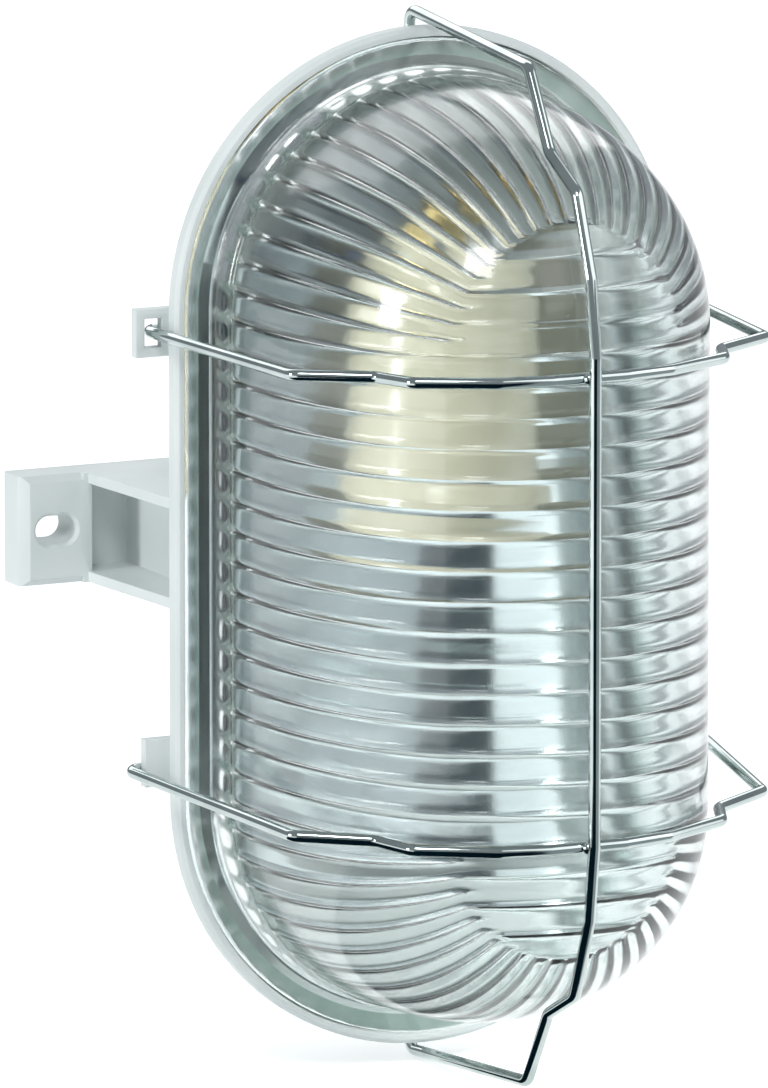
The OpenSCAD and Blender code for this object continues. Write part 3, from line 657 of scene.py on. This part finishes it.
def inner_wall(across, up):
    """Inside from the flange's back, up the ribs, to the front field."""
    row = round(up * (LOW_ROWS + RIB_ROWS + 1)) - 1
    if row < 0:
        return oval_point(INNER_R, across * RIBS) + (FLANGE_BACK,)
    return rib_point(across * RIBS, row)


def inner_front(across, up):
    """Cross ribs on the inside of the front."""
    return field_point(across, up, lambda k: rib_point(k, LOW_ROWS + RIB_ROWS),
                       lambda u, y: FOOT_Z + dome_height(u, INNER_R, INNER_H)
                       - lobe((y - HALF_STRAIGHT) / RIB_PITCH))


def reeded_glass():
    """Pressed glass in one closed shell: flange, collar and smooth dome outside, ribs inside."""
    parts = [shaped_grid("glass_wall", COLUMNS, len(FOOT) + WALL_ROWS, outer_wall),
             shaped_grid("glass_front", FIELD_WIDTH, COLUMNS // 2, outer_front),
             shaped_grid("glass_inside", COLUMNS, LOW_ROWS + RIB_ROWS + 1, inner_wall),
             shaped_grid("glass_ceiling", FIELD_WIDTH, COLUMNS // 2, inner_front)]
    glass = joined("reeded_glass", parts)
    merge_and_face_out(glass, 3e-6)
    smooth_by_angle(glass, 50)
    settle(glass, "cover", "clear_glass", "glass_cover")
    glass.visible_shadow = False


# Lampholder

LAMP_OUT = 8
LAMP_Z = BASE_DEPTH + LAMP_OUT
HOLDER_R = 21
HOLDER_BORE = 18.4
MOUTH_BELOW = 43.5
SKIRT_LEN = 42
HOLDER_MOUTH = HALF_STRAIGHT - MOUTH_BELOW
CAP_NECK_R = 13
WAIST_R = 19.5
MOUTH_R = 22.4
TURNS = 96

# Outline of the skirt as radius and height above the mouth, with a swelled ring at the mouth that runs
# out into the waist
SKIRT = [
    (HOLDER_BORE, 0),
    (MOUTH_R - 1.2, 0),
    (MOUTH_R - 0.4, 0.4),
    (MOUTH_R, 1.2),
    (MOUTH_R, 5),
    (MOUTH_R - 0.3, 6),
    (MOUTH_R - 1.3, 7.2),
    (WAIST_R + 0.6, 8.4),
    (WAIST_R + 0.1, 10),
    (WAIST_R, 12),
    (WAIST_R, SKIRT_LEN - 0.5),
    (WAIST_R - 0.4, SKIRT_LEN),
    (HOLDER_BORE, SKIRT_LEN),
    (HOLDER_BORE, 0),
]


def skirt_point(across, up):
    """Point of the skirt, turned about the lampholder's upright axis."""
    r, y = SKIRT[round(up * (len(SKIRT) - 1))]
    return r * cos(2 * pi * across), HOLDER_MOUTH + y, LAMP_Z + r * sin(2 * pi * across)


def cream_lampholder():
    """Skirt turned with a waist and a swelled mouth ring, and the domed cap drawn in to meet it."""
    skirt = shaped_grid("cream_skirt", TURNS, len(SKIRT) - 1, skirt_point)
    merge_and_face_out(skirt)
    smooth_by_angle(skirt, 50)
    settle(skirt, "base", "cream_plastic", "lampholder_skirt")
    cap = loose_copy("lampholder_cap", "cream_cap")
    points = points_of(cap)
    out = points[:, 1] + LAMP_Z * MM
    radius = np.hypot(points[:, 0], out) / MM
    drawn = CAP_NECK_R + (radius - CAP_NECK_R) * (WAIST_R - CAP_NECK_R) / (HOLDER_R - CAP_NECK_R)
    share = np.where(radius > CAP_NECK_R, drawn / np.maximum(radius, CAP_NECK_R), 1)
    points[:, 0] *= share
    points[:, 1] = out * share - LAMP_Z * MM
    move_points(cap, points)
    smooth_by_angle(cap, 40)
    settle(cap, "base", "cream_plastic", "lampholder_cap")


# Reflector: half widths at the folds, the wings' slope and bow, and the cuts that let them bow

SLOPE_HALF = 27
WING_HALF = 41
WING_DEPTH = 16
WING_LEAN = atan2(WING_DEPTH, WING_HALF - SLOPE_HALF)
WING_BOW = 1.0
WING_CUTS = 8


def sprung_reflector():
    """Copy of the folded sheet whose wings bow back a little, as bright sheet does beside a fold."""
    piece = loose_copy("reflector", "bright_reflector")
    bpy.ops.object.mode_set(mode="EDIT")
    for side in (-1, 1):
        for cut in range(1, WING_CUTS):
            x = side * (SLOPE_HALF + (WING_HALF - SLOPE_HALF) * cut / WING_CUTS) * MM
            bpy.ops.mesh.select_all(action="SELECT")
            bpy.ops.mesh.bisect(plane_co=(x, 0, 0), plane_no=(1, 0, 0))
    bpy.ops.object.mode_set(mode="OBJECT")
    points = points_of(piece)
    along = (np.abs(points[:, 0]) / MM - SLOPE_HALF) / (WING_HALF - SLOPE_HALF)
    bow = 4 * WING_BOW * MM * np.clip(along * (1 - along), 0, None)
    points[:, 0] += np.sign(points[:, 0]) * bow * sin(WING_LEAN)
    points[:, 1] += bow * cos(WING_LEAN)
    move_points(piece, points)
    smooth_by_angle(piece, 8)
    settle(piece, "base", "bright_aluminium", "reflector")


# Guard wires: corners of half a wire after its hook, as distance along and height above the lip; the
# upright wire's distances are counted from where the straight side ends

LONG_CORNERS = [(54.8, CORNER_OUT - 1), (38.6, 58.5), (32.6, 70.8), (16, LONG_CROWN - 2.2), (0, LONG_CROWN)]
CROSS_CORNERS = [(53.2, CORNER_OUT), (38.6, 58.5), (34.8, 67.7), (19, CROSS_CROWN - 1.9),
                 (FIELD_R / 3, CROSS_CROWN)]
BEAD_R = 1.2 * WIRE_R
BEAD_STRETCH = (1.4, 0.9, 1)


def rounded_path(path, bend, step=9):
    """Flat path with each inner corner rounded to a bend radius."""
    route = [path[0]]
    for before, corner, after in zip(path, path[1:], path[2:]):
        first = atan2(corner[1] - before[1], corner[0] - before[0])
        turn = atan2(after[1] - corner[1], after[0] - corner[0]) - first
        turn = (turn + pi) % (2 * pi) - pi
        back = bend * tan(abs(turn) / 2)
        start = (corner[0] - back * cos(first), corner[1] - back * sin(first))
        side = 1 if turn > 0 else -1
        steps = ceil(abs(degrees(turn)) / step)
        for j in range(steps + 1):
            a = abs(turn) * j / steps
            along, across = bend * sin(a), side * bend * (1 - cos(a))
            route.append((start[0] + along * cos(first) - across * sin(first),
                          start[1] + along * sin(first) + across * cos(first)))
    return route + [path[-1]]


def drawn_wire(name, points):
    """Round wire along points in millimetres (right, up, out from the wall), made a mesh."""
    curve = bpy.data.curves.new(name, "CURVE")
    curve.dimensions = "3D"
    curve.bevel_depth = WIRE_R * MM
    curve.bevel_resolution = 6
    curve.use_fill_caps = True
    line = curve.splines.new("POLY")
    line.points.add(len(points) - 1)
    for point, (x, y, z) in zip(line.points, points):
        point.co = (x * MM, -z * MM, y * MM, 1)
    wire = bpy.data.objects.new(name, curve)
    scene.collection.objects.link(wire)
    use_only(wire)
    bpy.ops.object.convert(target="MESH")
    wire = bpy.context.object
    merge_and_face_out(wire)
    smooth_by_angle(wire, 40)
    return wire


def both_sides(half):
    """Whole path from its right half: the mirror image first, then the half run back to its hook."""
    return [(-along, out) for along, out in half] + half[::-1]


def weld_bead(name, up):
    """Bead of melted wire where a cross wire meets the upright one, drawn out along the cross wire."""
    bpy.ops.object.select_all(action="DESELECT")
    bpy.ops.mesh.primitive_uv_sphere_add(segments=20, ring_count=12, radius=BEAD_R * MM,
                                         location=(0, -(BASE_DEPTH + CROSS_CROWN + WIRE_R) * MM, up * MM))
    bead = bpy.context.object
    bead.name = name
    bpy.ops.transform.resize(value=BEAD_STRETCH)
    bpy.ops.object.transform_apply(location=True, scale=True)
    smooth_by_angle(bead, 40)
    settle(bead, "cover", "chrome")


def guard():
    """The upright wire and the two cross wires, welded where they cross."""
    half = [(LONG_HOOK_Y - HOOK_LEN, LONG_HOOK_Z), (LONG_HOOK_Y, LONG_HOOK_Z)]
    half += [(HALF_STRAIGHT + along, BASE_DEPTH + out) for along, out in LONG_CORNERS]
    route = rounded_path(both_sides(half), WIRE_BEND)
    settle(drawn_wire("upright_guard_wire", [(0, along, out) for along, out in route]),
           "cover", "chrome", "guard_wire_vertical")
    lip = BASE_DEPTH - CROSS_HOOK_Z
    for name, node, hook_x, hook_y, drop in (
            ("upper_guard_wire", "guard_wire_upper", UPPER_HOOK_X, UPPER_HOOK_Y, UPPER_DROP),
            ("lower_guard_wire", "guard_wire_lower", LOWER_HOOK_X, -LOWER_HOOK_Y, LOWER_DROP)):
        lean = -radians(drop)
        half = [(hook_x - HOOK_LEN, 0), (hook_x, 0)] + [(along, lip + out) for along, out in CROSS_CORNERS]
        route = rounded_path(both_sides(half), WIRE_BEND)
        points = [(along, hook_y + out * sin(lean), CROSS_HOOK_Z + out * cos(lean)) for along, out in route]
        settle(drawn_wire(name, points), "cover", "chrome", node)
        weld_bead(name + "_weld", hook_y + (lip + CROSS_CROWN) * sin(lean))


# The light on its stage

BASE_EDGE_R = 0.5
materials = make_materials()
place_camera()
plain_floor()
floor_cards()
studio_light()

settle(softened_copy("base_housing", "grey_base", BASE_EDGE_R), "base", "grey_plastic", "base_housing")
cream_lampholder()
sprung_reflector()
reeded_glass()
guard()

slots = {row["node"]: row["material_slot"] for row in frame["record"]["subparts"]}
for node, piece in frame["nodes"].items():
    piece.data.materials.clear()
    piece.data.materials.append(materials[slots[node]])
